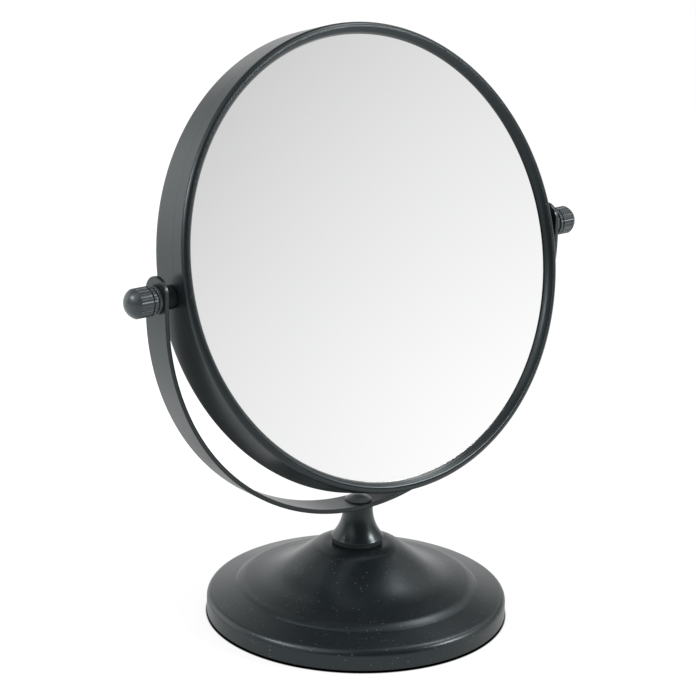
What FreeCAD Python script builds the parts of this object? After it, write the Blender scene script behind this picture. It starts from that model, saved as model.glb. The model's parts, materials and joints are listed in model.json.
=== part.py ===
import FreeCAD, Part
import math
import os
import re
import Sketcher

# Two-sided table mirror: a drum-shaped head in a strip yoke, on a trumpet neck and a bell-shaped base.
# Millimetres. The origin is the middle of the base's underside, +Z is up, the flat mirror faces -Y and the
# head tilts about an axis along X. At rest the head leans back by rest_tilt.

doc = FreeCAD.newDocument("makeup_mirror")
sheet = doc.addObject("Spreadsheet::Sheet", "Sizes")

driving_sizes = [
    # head
    ("head_radius", 101.5, "outside of the drum"),
    ("rest_tilt", 16.5, "lean of the head, degrees"),
    ("rim_width", 5.25, "drum and bezel round the mirrors"),
    ("mirror_gap", 3.13, "concave glass to the board"),
    ("drum_wall", 1.0, "drum sheet"),
    ("rear_round", 2.0, "round on the drum's rear edge"),
    ("seam_margin", 0.3, "seam in front of the notches for the studs"),
    ("seam_chamfer", 0.2, "bevel on each side of the seam"),
    ("bead_width", 3.6, "bead round the bezel's front"),
    ("bead_round", 1.75, "round on the bead's shoulders"),
    ("bead_rise", 2.6, "bead in front of the bezel's lip"),
    ("bezel_lip", 0.7, "lip in front of the glass"),
    ("spigot_length", 4.2, "bezel pressed into the drum"),
    ("spigot_gap", 0.1, "spigot to drum"),
    ("glass_thick", 2.0, "both mirrors"),
    ("glass_overlap", 1.95, "front glass behind the lip"),
    ("glass_gap", 0.3, "front glass to the bezel's bore"),
    ("rear_glass_gap", 1.0, "rear glass to the drum"),
    ("mirror_curve", 600.0, "radius of the concave mirror"),
    ("land_width", 1.25, "flat land of the rear glass that shows"),
    ("front_seal_thick", 1.0, "soft ring behind the front glass"),
    ("rear_seal_thick", 0.8, "soft ring behind the rear lip"),
    ("seal_width", 3.6, "front soft ring, across"),
    ("board_thick", 1.2, "board behind the front glass"),
    ("spacer_wall", 2.6, "hoop between the mirrors"),
    ("spacer_gap", 0.5, "hoop to the bezel's spigot"),
    # pivots
    ("stud_radius", 2.5, "pivot stud"),
    ("stud_head_radius", 4.0, "flat head inside the drum"),
    ("stud_head_thick", 1.4, "flat head inside the drum"),
    ("stud_head_gap", 0.2, "flat head to the drum's wall"),
    ("stud_bevel", 0.5, "bevel on the stud's tip"),
    ("stud_engage", 7.2, "stud inside the knob"),
    ("running_gap", 0.05, "round fits, radial"),
    ("notch_gap", 0.4, "bezel spigot to the stud's head"),
    ("bush_radius", 5.0, "spacer between drum and yoke"),
    ("bush_gap", 0.05, "bush to the drum"),
    ("friction_radius", 6.0, "washer against the yoke's inner face"),
    ("friction_thick", 0.6, "washer against the yoke's inner face"),
    ("axial_play", 0.05, "friction washer to the yoke"),
    # yoke
    ("side_gap", 5.5, "drum to yoke, at the pivots"),
    ("yoke_thick", 2.0, "strip"),
    ("yoke_width", 14.5, "strip"),
    ("yoke_drop", 4.6, "centre of the bend below the pivots"),
    ("yoke_rise", 9.8, "ends of the strip above the pivots"),
    ("yoke_edge", 0.35, "broken edges of the strip"),
    # knobs
    ("washer_radius", 6.2, "smooth washer under the knob"),
    ("washer_thick", 1.6, "smooth washer under the knob"),
    ("washer_round", 0.5, "round on the washer's rim"),
    ("knob_radius", 6.35, "over the knurls"),
    ("shoulder_inset", 0.85, "plain shoulder inside the knurls"),
    ("shoulder_length", 1.2, "plain shoulder next to the washer"),
    ("ring_length", 1.2, "narrow knurled ring"),
    ("groove_depth", 0.65, "groove between the knurls"),
    ("groove_length", 0.7, "groove between the knurls"),
    ("band_length", 5.6, "wide knurled band"),
    ("dome_rise", 4.1, "dome beyond the band"),
    ("bore_spare", 0.7, "knob's bore beyond the stud"),
    ("knurl_count", 28, "flutes round the knob"),
    ("knurl_depth", 0.4, "flutes"),
    ("knurl_width", 0.95, "flutes, at the outside"),
    # neck
    ("neck_radius", 6.65, "spindle under the yoke"),
    ("flare_radius", 11.7, "foot of the trumpet"),
    ("neck_length", 15.6, "base washer to yoke"),
    ("neck_straight", 1.4, "plain top of the spindle"),
    ("neck_lip", 0.6, "rim of the foot"),
    ("neck_washer_radius", 11.3, "soft washer under the neck"),
    ("neck_washer_thick", 2.1, "soft washer under the neck"),
    # bolt through yoke, neck and base
    ("bolt_radius", 3.0, "shank"),
    ("bolt_gap", 0.3, "shank in the neck and the base"),
    ("bolt_head_radius", 6.05, "mushroom head"),
    ("bolt_head_rise", 2.3, "mushroom head"),
    ("square_gap", 0.15, "square neck to its hole, each side"),
    ("bolt_spare", 1.4, "shank beyond the nut"),
    ("seat_gap", 0.02, "bolt head to the bent strip"),
    ("fastener_washer_radius", 6.2, "plain washer under the shell"),
    ("fastener_washer_thick", 1.2, "plain washer under the shell"),
    ("lock_radius", 5.1, "split washer"),
    ("lock_thick", 1.6, "split washer"),
    ("lock_slit", 1.0, "slit in the split washer"),
    ("nut_flats", 10.0, "across the flats"),
    ("nut_height", 5.0, "hexagon nut"),
    # base
    ("base_radius", 67.5, "outside of the rim"),
    ("base_height", 33.7, "seat of the neck's washer"),
    ("base_wall", 1.0, "pressed sheet"),
    ("rim_height", 9.0, "rim's shoulder above the table"),
    ("rim_round", 1.5, "round on the shoulder"),
    ("slope_width", 10.5, "sloping zone inside the rim"),
    ("slope_rise", 3.6, "sloping zone inside the rim"),
    ("step_width", 4.5, "step ring"),
    ("step_rise", 2.7, "step ring"),
    ("step_foot_round", 12.0, "hollow at the foot of the step"),
    ("step_top_round", 8.0, "round on top of the step"),
    ("shelf_width", 15.5, "shallow zone inside the step"),
    ("shelf_rise", 3.1, "shallow zone inside the step"),
    ("bell_curve", 34.0, "hollow between the shelf and the bell"),
    ("crown_radius", 17.4, "where the bell's flank would meet the seat"),
    ("crown_round", 12.0, "round on the bell's crown"),
    ("foot_lift", 0.8, "shell above the table"),
    ("hem_width", 2.2, "hem rolled in under the plate"),
    ("hem_thick", 0.8, "hem rolled in under the plate"),
    ("plate_thick", 1.0, "closing plate"),
    ("plate_gap", 0.3, "plate to the shell's wall"),
    ("pad_gap", 0.4, "pad to the hem"),
    ("weight_inset", 5.0, "cast ring inside the shell's wall"),
    ("weight_gap", 0.4, "cast ring below the rim's shoulder"),
    ("weight_bore", 15.0, "cast ring"),
    ("weight_bevel", 1.0, "bevel on the cast ring"),
]

# Sizes that follow from the ones above. Depths in the head are measured forward from its rear face,
# reaches along the pivot axis from the middle of the head. A size that ends in fit is a round that leaves
# part of the walls beside it straight.
derived_sizes = [
    ("view_radius", "head_radius - rim_width"),
    ("land_radius", "view_radius - land_width"),
    ("mirror_sag", "mirror_curve - sqrt(mirror_curve ^ 2 - land_radius ^ 2)"),
    ("rear_glass_back", "drum_wall + rear_seal_thick"),
    ("rear_glass_front", "rear_glass_back + glass_thick"),
    ("board_back", "rear_glass_front + mirror_sag + mirror_gap"),
    ("board_front", "board_back + board_thick"),
    ("glass_back", "board_front + front_seal_thick"),
    ("glass_front", "glass_back + glass_thick"),
    ("lip_front", "glass_front + bezel_lip"),
    ("head_depth", "lip_front + bead_rise"),
    ("pivot_depth", "glass_front / 2"),
    ("notch_half", "stud_head_radius + notch_gap"),
    ("seam_depth", "pivot_depth + notch_half + seam_margin"),
    ("bead_fit", "min(bead_round; 0.49 * bead_width)"),
    ("drum_bore", "head_radius - drum_wall"),
    ("front_glass_radius", "view_radius + glass_overlap"),
    ("bezel_bore", "front_glass_radius + glass_gap"),
    ("spigot_radius", "drum_bore - spigot_gap"),
    ("spacer_radius", "bezel_bore - spacer_gap"),
    ("rear_glass_radius", "drum_bore - rear_glass_gap"),
    ("stud_head_reach", "drum_bore - stud_head_gap"),
    ("yoke_inside", "head_radius + side_gap"),
    ("friction_seat", "yoke_inside - axial_play - friction_thick"),
    ("yoke_radius", "yoke_inside + yoke_thick"),
    ("knob_seat", "yoke_radius + washer_thick"),
    ("ring_reach", "knob_seat + shoulder_length"),
    ("groove_reach", "ring_reach + ring_length"),
    ("band_reach", "groove_reach + groove_length"),
    ("dome_reach", "band_reach + band_length"),
    ("knob_reach", "dome_reach + dome_rise"),
    ("shoulder_radius", "knob_radius - shoulder_inset"),
    ("groove_radius", "knob_radius - groove_depth"),
    ("dome_curve", "(knob_radius ^ 2 + dome_rise ^ 2) / (2 * dome_rise)"),
    ("stud_reach", "knob_seat + stud_engage"),
    ("stud_bore", "stud_radius + running_gap"),
    ("neck_foot", "base_height + neck_washer_thick"),
    ("neck_top", "neck_foot + neck_length"),
    ("bend_height", "neck_top + yoke_radius"),
    ("pivot_height", "bend_height + yoke_drop"),
    ("yoke_top", "pivot_height + yoke_rise"),
    ("flare_height", "neck_length - neck_straight - neck_lip"),
    ("flare_spread", "flare_radius - neck_radius"),
    ("flare_curve", "(flare_spread ^ 2 + flare_height ^ 2) / (2 * flare_spread)"),
    ("bolt_hole", "bolt_radius + bolt_gap"),
    ("nut_bore", "bolt_radius + running_gap"),
    ("bolt_square", "2 * bolt_radius"),
    ("strip_top", "neck_top + yoke_thick"),
    ("bolt_seat", "strip_top + yoke_inside - sqrt(yoke_inside ^ 2 - bolt_head_radius ^ 2) + seat_gap"),
    ("bolt_head_curve", "(bolt_head_radius ^ 2 + bolt_head_rise ^ 2) / (2 * bolt_head_rise)"),
    ("shell_top", "base_height - base_wall"),
    ("lock_top", "shell_top - fastener_washer_thick"),
    ("nut_top", "lock_top - lock_thick"),
    ("nut_bottom", "nut_top - nut_height"),
    ("slope_radius", "base_radius - slope_width"),
    ("step_radius", "slope_radius - step_width"),
    ("shelf_radius", "step_radius - shelf_width"),
    ("step_foot", "rim_height + slope_rise"),
    ("step_top", "step_foot + step_rise"),
    ("shelf_height", "step_top + shelf_rise"),
    ("bell_width", "shelf_radius - crown_radius"),
    ("bell_rise", "base_height - shelf_height"),
    ("bell_flank", "sqrt(bell_width ^ 2 + bell_rise ^ 2)"),
    ("bell_slope", "atan(bell_rise / bell_width)"),
    ("bell_turn", "bell_slope - atan(shelf_rise / shelf_width)"),
    ("bell_fit", "min(bell_curve; 0.6 * min(shelf_width; bell_flank) / tan(bell_turn / 2))"),
    ("crown_fit", "min(crown_round; 0.35 * bell_flank / tan(bell_slope / 2))"),
    ("hem_radius", "base_radius - hem_width"),
    ("plate_bottom", "foot_lift + hem_thick"),
    ("plate_top", "plate_bottom + plate_thick"),
    ("weight_radius", "base_radius - base_wall - weight_inset"),
    ("weight_top", "rim_height - base_wall - weight_gap"),
]

for row, (alias, amount, note) in enumerate(driving_sizes, start=1):
    sheet.set(f"A{row}", note)
    sheet.set(f"B{row}", str(amount))
    sheet.setAlias(f"B{row}", alias)
for row, (alias, formula) in enumerate(derived_sizes, start=len(driving_sizes) + 2):
    sheet.set(f"B{row}", "=" + formula)
    sheet.setAlias(f"B{row}", alias)
doc.recompute()

size_names = {entry[0] for entry in driving_sizes + derived_sizes}
reading = doc.addObject("App::VarSet", "Reading")
reading.addProperty("App::PropertyFloat", "Result")
parts = []


def from_sheet(text):
    # An expression in which every size's name points at the sheet.
    def link(match):
        word = match.group()
        return f"{sheet.Name}.{word}" if word in size_names else word

    return re.sub(r"[a-z_]+", link, str(text))


def bind(target, prop, text):
    target.setExpression(prop, from_sheet(text))


def number(text):
    # What an expression comes to now, to draw a sketch near its final shape.
    bind(reading, "Result", text)
    reading.recompute()
    return reading.Result


# Bodies and their places


def new_body(label, angle_axis=(0, 0, 1), angle="0", base=("0", "0", "0")):
    body = doc.addObject("PartDesign::Body", label)
    body.Label = label
    body.Placement.Rotation = FreeCAD.Rotation(FreeCAD.Vector(*angle_axis), 1)
    bind(body, "Placement.Rotation.Angle", angle)
    for axis, text in zip("xyz", base):
        bind(body, f"Placement.Base.{axis}", text)
    parts.append(body)
    return body


def head_body(label):
    # Local Z runs forward through the head from its rear face, local X along the pivot axis.
    base = ("0", "pivot_depth * cos(rest_tilt)", "pivot_height - pivot_depth * sin(rest_tilt)")
    return new_body(label, (1, 0, 0), "90 - rest_tilt", base)


def pivot_body(label, side):
    # Local Z runs outward along the pivot axis from the middle of the head.
    return new_body(label, (0, 1, 0), "90" if side == "right" else "-90", ("0", "0", "pivot_height"))


# Sketches: closed outlines whose corners are tied to the sheet


def new_sketch(body, plane, name):
    sketch = body.newObject("Sketcher::SketchObject", f"{body.Name}_{name}")
    support = next(feature for feature in body.Origin.OriginFeatures if feature.Role == plane)
    sketch.AttachmentSupport = [(support, "")]
    sketch.MapMode = "FlatFace"
    return sketch


def tie_point(sketch, geometry, end, x, y):
    # Ties a point to the axes, or to distances from the origin.
    for kind, axis, text in (("DistanceX", -2, x), ("DistanceY", -1, y)):
        if str(text) == "0":
            sketch.addConstraint(Sketcher.Constraint("PointOnObject", geometry, end, axis))
        else:
            index = sketch.addConstraint(Sketcher.Constraint(kind, -1, 1, geometry, end, number(text)))
            bind(sketch, f"Constraints[{index}]", text)


def tie_radius(sketch, geometry, text):
    index = sketch.addConstraint(Sketcher.Constraint("Radius", geometry, number(text)))
    bind(sketch, f"Constraints[{index}]", text)


def arc_edge(start, end, radius, left):
    # Arc of at most a half circle from start to end, turning left or right.
    chord = end - start
    half = chord.Length / 2
    offset = math.sqrt(max(radius * radius - half * half, 0.0))
    across = FreeCAD.Vector(-chord.y, chord.x, 0).normalize()
    centre = (start + end) * 0.5 + across * (offset if left else -offset)
    bulge = across * (-radius if left else radius)
    return Part.Arc(start, centre + bulge, end)


def outline(sketch, corners):
    # Each corner is (x, y), with one option for the corner or for the edge that leaves it:
    # ("round", r) rounds the corner, ("left", r) or ("right", r) bends the edge, and ("half", "left") or
    # ("half", "right") makes the edge a half circle that leaves the edge before it without a kink.
    count = len(corners)
    places = [FreeCAD.Vector(number(c[0]), number(c[1]), 0) for c in corners]
    options = [(c[2] if len(c) > 2 else (None, None)) for c in corners]
    enter, leave = list(places), list(places)
    for i, (kind, amount) in enumerate(options):
        if kind == "round":
            back = (places[i - 1] - places[i]).normalize()
            ahead = (places[(i + 1) % count] - places[i]).normalize()
            reach = number(amount) / math.tan(back.getAngle(ahead) / 2)
            enter[i] = places[i] + back * reach
            leave[i] = places[i] + ahead * reach
    edges = []
    for i, (kind, amount) in enumerate(options):
        start, end = leave[i], enter[(i + 1) % count]
        if kind in ("left", "right"):
            curve = arc_edge(start, end, number(amount), kind == "left")
        elif kind == "half":
            curve = arc_edge(start, end, (end - start).Length / 2, amount == "left")
        else:
            curve = Part.LineSegment(start, end)
        edges.append(sketch.addGeometry(curve))

    def ends(i):
        # Numbers of an edge's first and last point along the outline: arcs are kept anticlockwise.
        kind, amount = options[i]
        turned = kind == "right" or (kind == "half" and amount == "right")
        return (2, 1) if turned else (1, 2)

    for i, (kind, amount) in enumerate(options):
        before, after = edges[i - 1], edges[i]
        last, first = ends((i - 1) % count)[1], ends(i)[0]
        x, y = corners[i][:2]
        if kind == "round":
            back, ahead = places[i] - enter[i], leave[i] - places[i]
            left = back.cross(ahead).z > 0
            curve = arc_edge(enter[i], leave[i], number(amount), left)
            arc = sketch.addGeometry(curve)
            first_end, last_end = (1, 2) if left else (2, 1)
            corner = sketch.addGeometry(Part.Point(places[i]), True)
            tie_point(sketch, corner, 1, x, y)
            sketch.addConstraint(Sketcher.Constraint("PointOnObject", corner, 1, before))
            sketch.addConstraint(Sketcher.Constraint("PointOnObject", corner, 1, after))
            sketch.addConstraint(Sketcher.Constraint("Tangent", before, last, arc, first_end))
            sketch.addConstraint(Sketcher.Constraint("Tangent", arc, last_end, after, first))
            tie_radius(sketch, arc, amount)
        else:
            joint = "Tangent" if kind == "half" else "Coincident"
            sketch.addConstraint(Sketcher.Constraint(joint, before, last, after, first))
            tie_point(sketch, after, first, x, y)
            if kind in ("left", "right"):
                tie_radius(sketch, after, amount)
    return sketch


def circle(sketch, x, y, radius):
    centre = FreeCAD.Vector(number(x), number(y), 0)
    hoop = sketch.addGeometry(Part.Circle(centre, FreeCAD.Vector(0, 0, 1), number(radius)))
    tie_point(sketch, hoop, 3, x, y)
    tie_radius(sketch, hoop, radius)
    return sketch


def square_outline(sketch, half):
    # A square about the sketch's origin.
    low, high = f"-({half})", half
    return outline(sketch, [(low, low), (high, low), (high, high), (low, high)])


# Features


def turned(body, corners, name="profile"):
    # A solid of revolution about the body's Z axis.
    sketch = outline(new_sketch(body, "XZ_Plane", name), corners)
    solid = body.newObject("PartDesign::Revolution", f"{body.Name}_turned_{name}")
    solid.Profile = sketch
    solid.ReferenceAxis = (sketch, ["V_Axis"])
    solid.Angle = 360
    return solid


def ring(body, inner, outer, low, high):
    # A plain washer or hoop.
    return turned(body, [(inner, low), (outer, low), (outer, high), (inner, high)])


def cut(body, sketch, name, both_ways=False, length=None):
    # A cut along the sketch's normal, right through or to a length; both_ways cuts on both sides of it.
    pocket = body.newObject("PartDesign::Pocket", f"{body.Name}_{name}")
    pocket.Profile = sketch
    pocket.Type = "ThroughAll" if length is None else "Length"
    if length is not None:
        bind(pocket, "Length", length)
    if both_ways:
        pocket.SideType = "Symmetric"
    else:
        pocket.Reversed = True
    doc.recompute()
    if not pocket.Shape.Volume < pocket.BaseFeature.Shape.Volume - 0.01:
        raise RuntimeError(f"{pocket.Name} removes nothing")
    return pocket


# Base


def base_shell():
    # Vertical rim, sloping zone, step ring, shallow shelf and a bell that rises to the neck's seat.
    body = new_body("base_shell")
    solid = turned(body, [
        ("0", "foot_lift"),
        ("base_radius", "foot_lift"),
        ("base_radius", "rim_height", ("round", "rim_round")),
        ("slope_radius", "step_foot", ("round", "step_foot_round")),
        ("step_radius", "step_top", ("round", "step_top_round")),
        ("shelf_radius", "shelf_height", ("round", "bell_fit")),
        ("crown_radius", "base_height", ("round", "crown_fit")),
        ("0", "base_height"),
    ])
    doc.recompute()
    # The pressed sheet: everything but the underside becomes a wall.
    faces = solid.Shape.Faces
    lowest = min(range(len(faces)), key=lambda i: faces[i].CenterOfMass.z)
    sheet_metal = body.newObject("PartDesign::Thickness", "base_shell_sheet")
    sheet_metal.Base = (solid, [f"Face{lowest + 1}"])
    bind(sheet_metal, "Value", "base_wall")
    sheet_metal.Mode = "Skin"
    sheet_metal.Join = "Arc"
    sheet_metal.Reversed = True
    body.Tip = sheet_metal
    # The hem, rolled in under the closing plate.
    turned(body, [
        ("hem_radius", "foot_lift"),
        ("base_radius - base_wall / 2", "foot_lift"),
        ("base_radius - base_wall / 2", "plate_bottom"),
        ("hem_radius", "plate_bottom"),
    ], "hem")
    cut(body, circle(new_sketch(body, "XY_Plane", "bolt_hole"), "0", "0", "bolt_hole"), "hole")


def base_inside():
    plate_radius = "base_radius - base_wall - plate_gap"
    ring(new_body("base_plate"), "bolt_hole", plate_radius, "plate_bottom", "plate_top")
    turned(new_body("base_pad"), [
        ("0", "0"),
        ("hem_radius - pad_gap", "0"),
        ("hem_radius - pad_gap", "plate_bottom"),
        ("0", "plate_bottom"),
    ])
    turned(new_body("base_weight"), [
        ("weight_bore", "plate_top"),
        ("weight_radius", "plate_top"),
        ("weight_radius", "weight_top - weight_bevel"),
        ("weight_radius - weight_bevel", "weight_top"),
        ("weight_bore", "weight_top"),
    ])


# Neck and the bolt that clamps yoke, neck and base


def neck():
    turned(new_body("neck"), [
        ("bolt_hole", "neck_foot"),
        ("flare_radius", "neck_foot"),
        ("flare_radius", "neck_foot + neck_lip", ("right", "flare_curve")),
        ("neck_radius", "neck_top - neck_straight"),
        ("neck_radius", "neck_top"),
        ("bolt_hole", "neck_top"),
    ])
    ring(new_body("neck_washer"), "bolt_hole", "neck_washer_radius", "base_height", "neck_foot")


def yoke_bolt():
    body = new_body("yoke_bolt")
    turned(body, [
        ("0", "nut_bottom - bolt_spare"),
        ("bolt_radius", "nut_bottom - bolt_spare"),
        ("bolt_radius", "bolt_seat"),
        ("bolt_head_radius", "bolt_seat", ("left", "bolt_head_curve")),
        ("0", "bolt_seat + bolt_head_rise"),
    ])
    # Square neck that keeps the bolt from turning in the strip.
    square = square_outline(new_sketch(body, "XY_Plane", "square"), "bolt_square / 2")
    bind(square, "AttachmentOffset.Base.z", "neck_top")
    key = body.newObject("PartDesign::Pad", "yoke_bolt_key")
    key.Profile = square
    bind(key, "Length", "bolt_seat - neck_top")


def clamp():
    ring(new_body("flat_washer"), "nut_bore", "fastener_washer_radius", "lock_top", "shell_top")
    body = new_body("lock_washer")
    ring(body, "nut_bore", "lock_radius", "nut_top", "lock_top")
    slit = new_sketch(body, "XY_Plane", "slit")
    outline(slit, [
        ("0", "-(lock_slit / 2)"),
        ("2 * lock_radius", "-(lock_slit / 2)"),
        ("2 * lock_radius", "lock_slit / 2"),
        ("0", "lock_slit / 2"),
    ])
    cut(body, slit, "split")
    hexagon = doc.addObject("Part::Prism", "nut_hexagon")
    hexagon.Polygon = 6
    bind(hexagon, "Circumradius", "nut_flats / sqrt(3)")
    bind(hexagon, "Height", "nut_height")
    bore = doc.addObject("Part::Cylinder", "nut_thread")
    bind(bore, "Radius", "nut_bore")
    bind(bore, "Height", "nut_height")
    nut = doc.addObject("Part::Cut", "clamp_nut")
    nut.Label = "clamp_nut"
    nut.Base = hexagon
    nut.Tool = bore
    bind(nut, "Placement.Base.z", "nut_bottom")
    parts.append(nut)


# Yoke


def yoke():
    # A strip bent to a U, with round ends, a hole for each stud and a square one for the bolt.
    body = new_body("yoke")
    bend = outline(new_sketch(body, "XZ_Plane", "bend"), [
        ("-yoke_radius", "yoke_top"),
        ("-yoke_radius", "bend_height", ("half", "left")),
        ("yoke_radius", "bend_height"),
        ("yoke_radius", "yoke_top"),
        ("yoke_inside", "yoke_top"),
        ("yoke_inside", "bend_height", ("half", "right")),
        ("-yoke_inside", "bend_height"),
        ("-yoke_inside", "yoke_top"),
    ])
    strip = body.newObject("PartDesign::Pad", "yoke_strip")
    strip.Profile = bend
    strip.SideType = "Symmetric"
    bind(strip, "Length", "yoke_width")
    half = "yoke_width / 2"
    ends = outline(new_sketch(body, "YZ_Plane", "ends"), [
        (half, f"yoke_top - {half}", ("left", half)),
        ("0", "yoke_top", ("left", half)),
        (f"-{half}", f"yoke_top - {half}"),
        (f"-{half} - yoke_thick", f"yoke_top - {half}"),
        (f"-{half} - yoke_thick", "yoke_top + yoke_thick"),
        (f"{half} + yoke_thick", "yoke_top + yoke_thick"),
        (f"{half} + yoke_thick", f"yoke_top - {half}"),
    ])
    rounded = cut(body, ends, "round_ends", both_ways=True)
    # The edges round the strip's two faces are broken, but not the seams that run across or through it.
    across = number("yoke_width")
    through = number("yoke_thick")
    sharp = []
    for index, edge in enumerate(rounded.Shape.Edges, start=1):
        run = edge.Vertexes[-1].Point - edge.Vertexes[0].Point
        seam_across = abs(abs(run.y) - across) < 0.001
        seam_through = abs(abs(run.x) - through) < 0.001 and abs(run.z) < 0.001
        if not (seam_across or seam_through):
            sharp.append(f"Edge{index}")
    broken = body.newObject("PartDesign::Fillet", "yoke_broken_edges")
    broken.Base = (rounded, sharp)
    bind(broken, "Radius", "yoke_edge")
    pivots = circle(new_sketch(body, "YZ_Plane", "pivots"), "0", "pivot_height", "stud_bore")
    cut(body, pivots, "pivot_holes", both_ways=True)
    square = square_outline(new_sketch(body, "XY_Plane", "square"), "bolt_square / 2 + square_gap")
    cut(body, square, "bolt_hole")


# Head


def head_shell():
    # Drum with a rolled rear edge and a rear lip, drilled for the studs.
    body = head_body("head_shell")
    turned(body, [
        ("view_radius", "0"),
        ("head_radius", "0", ("round", "rear_round")),
        ("head_radius", "seam_depth - seam_chamfer"),
        ("head_radius - seam_chamfer", "seam_depth"),
        ("drum_bore", "seam_depth"),
        ("drum_bore", "drum_wall"),
        ("view_radius", "drum_wall"),
    ])
    holes = circle(new_sketch(body, "YZ_Plane", "pivots"), "0", "pivot_depth", "stud_bore")
    cut(body, holes, "stud_holes", both_ways=True)


def front_bezel():
    # Ring with a round bead, a fine lip in front of the glass and a spigot inside the drum.
    body = head_body("front_bezel")
    turned(body, [
        ("head_radius - seam_chamfer", "seam_depth"),
        ("head_radius", "seam_depth + seam_chamfer"),
        ("head_radius", "head_depth", ("round", "bead_fit")),
        ("head_radius - bead_width", "head_depth", ("round", "bead_fit")),
        ("head_radius - bead_width", "lip_front"),
        ("view_radius", "lip_front"),
        ("view_radius", "glass_front"),
        ("bezel_bore", "glass_front"),
        ("bezel_bore", "seam_depth - spigot_length"),
        ("spigot_radius", "seam_depth - spigot_length"),
        ("spigot_radius", "seam_depth"),
    ])
    # Notches in the spigot for the heads of the studs.
    notch = outline(new_sketch(body, "YZ_Plane", "notch"), [
        ("-notch_half", "0"),
        ("notch_half", "0"),
        ("notch_half", "pivot_depth + notch_half"),
        ("-notch_half", "pivot_depth + notch_half"),
    ])
    cut(body, notch, "stud_notches", both_ways=True)


def mirrors():
    turned(head_body("front_mirror"), [
        ("0", "glass_back"),
        ("front_glass_radius", "glass_back"),
        ("front_glass_radius", "glass_front"),
        ("0", "glass_front"),
    ])
    # The magnifying glass is hollow to the rear, with a flat land at its rim.
    turned(head_body("rear_mirror"), [
        ("0", "rear_glass_back + mirror_sag", ("right", "mirror_curve")),
        ("land_radius", "rear_glass_back"),
        ("rear_glass_radius", "rear_glass_back"),
        ("rear_glass_radius", "rear_glass_front"),
        ("land_radius", "rear_glass_front", ("left", "mirror_curve")),
        ("0", "rear_glass_front + mirror_sag"),
    ])


def head_inside():
    seal_bore = "front_glass_radius - seal_width"
    ring(head_body("front_seal"), seal_bore, "front_glass_radius", "board_front", "glass_back")
    turned(head_body("backing_board"), [
        ("0", "board_back"),
        ("front_glass_radius", "board_back"),
        ("front_glass_radius", "board_front"),
        ("0", "board_front"),
    ])
    spacer_bore = "spacer_radius - spacer_wall"
    ring(head_body("spacer_ring"), spacer_bore, "spacer_radius", "rear_glass_front", "board_back")
    ring(head_body("rear_seal"), "view_radius", "rear_glass_radius", "drum_wall", "rear_glass_back")


# Pivots and knobs, one set on each side


def pivot(side):
    turned(pivot_body(f"{side}_pivot_stud", side), [
        ("0", "stud_head_reach - stud_head_thick"),
        ("stud_head_radius", "stud_head_reach - stud_head_thick"),
        ("stud_head_radius", "stud_head_reach"),
        ("stud_radius", "stud_head_reach"),
        ("stud_radius", "stud_reach - stud_bevel"),
        ("stud_radius - stud_bevel", "stud_reach"),
        ("0", "stud_reach"),
    ])
    bush = pivot_body(f"{side}_pivot_bush", side)
    ring(bush, "stud_bore", "bush_radius", "head_radius + bush_gap", "friction_seat")
    washer = pivot_body(f"{side}_friction_washer", side)
    ring(washer, "stud_bore", "friction_radius", "friction_seat", "friction_seat + friction_thick")


def knob_washer(side):
    turned(pivot_body(f"{side}_knob_washer", side), [
        ("stud_bore", "yoke_radius"),
        ("washer_radius", "yoke_radius", ("round", "washer_round")),
        ("washer_radius", "knob_seat", ("round", "washer_round")),
        ("stud_bore", "knob_seat"),
    ])


def knob(side):
    # Thumb nut with a blind bore: plain shoulder, narrow knurled ring, groove, wide knurled band and dome.
    body = pivot_body(f"{side}_knob", side)
    turned(body, [
        ("stud_bore", "knob_seat"),
        ("shoulder_radius", "knob_seat"),
        ("shoulder_radius", "ring_reach"),
        ("knob_radius", "ring_reach"),
        ("knob_radius", "groove_reach"),
        ("groove_radius", "groove_reach"),
        ("groove_radius", "band_reach"),
        ("knob_radius", "band_reach"),
        ("knob_radius", "dome_reach", ("left", "dome_curve")),
        ("0", "knob_reach"),
        ("0", "stud_reach + bore_spare"),
        ("stud_bore", "stud_reach + bore_spare"),
    ])
    flute = outline(new_sketch(body, "XY_Plane", "flute"), [
        ("knob_radius - knurl_depth", "0"),
        ("knob_radius + knurl_depth", "-knurl_width"),
        ("knob_radius + knurl_depth", "knurl_width"),
    ])
    groove = cut(body, flute, "flute", length="dome_reach")
    knurl = body.newObject("PartDesign::PolarPattern", f"{side}_knob_knurl")
    knurl.Originals = [groove]
    knurl.Axis = (flute, ["N_Axis"])
    knurl.Angle = 360
    bind(knurl, "Occurrences", "knurl_count")
    body.Tip = knurl


base_shell()
base_inside()
neck()
yoke()
yoke_bolt()
clamp()
head_shell()
front_bezel()
mirrors()
head_inside()
for side in ("left", "right"):
    pivot(side)
    knob_washer(side)
    knob(side)

doc.removeObject(reading.Name)
doc.recompute()
for item in doc.Objects:
    if "Invalid" in item.State or "Error" in item.State:
        raise RuntimeError(f"{item.Label} failed: {item.State}")
for part in parts:
    shape = part.Shape
    if shape.isNull() or not shape.isValid() or len(shape.Solids) != 1:
        raise RuntimeError(f"{part.Label} is not one valid solid")

os.makedirs("parts", exist_ok=True)
for part in parts:
    part.Shape.exportStep(f"parts/{part.Label}.step")
print(len(parts), "sub-parts written")
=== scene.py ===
import json
import math

import bmesh
import bpy
from mathutils import Matrix, Vector


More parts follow.
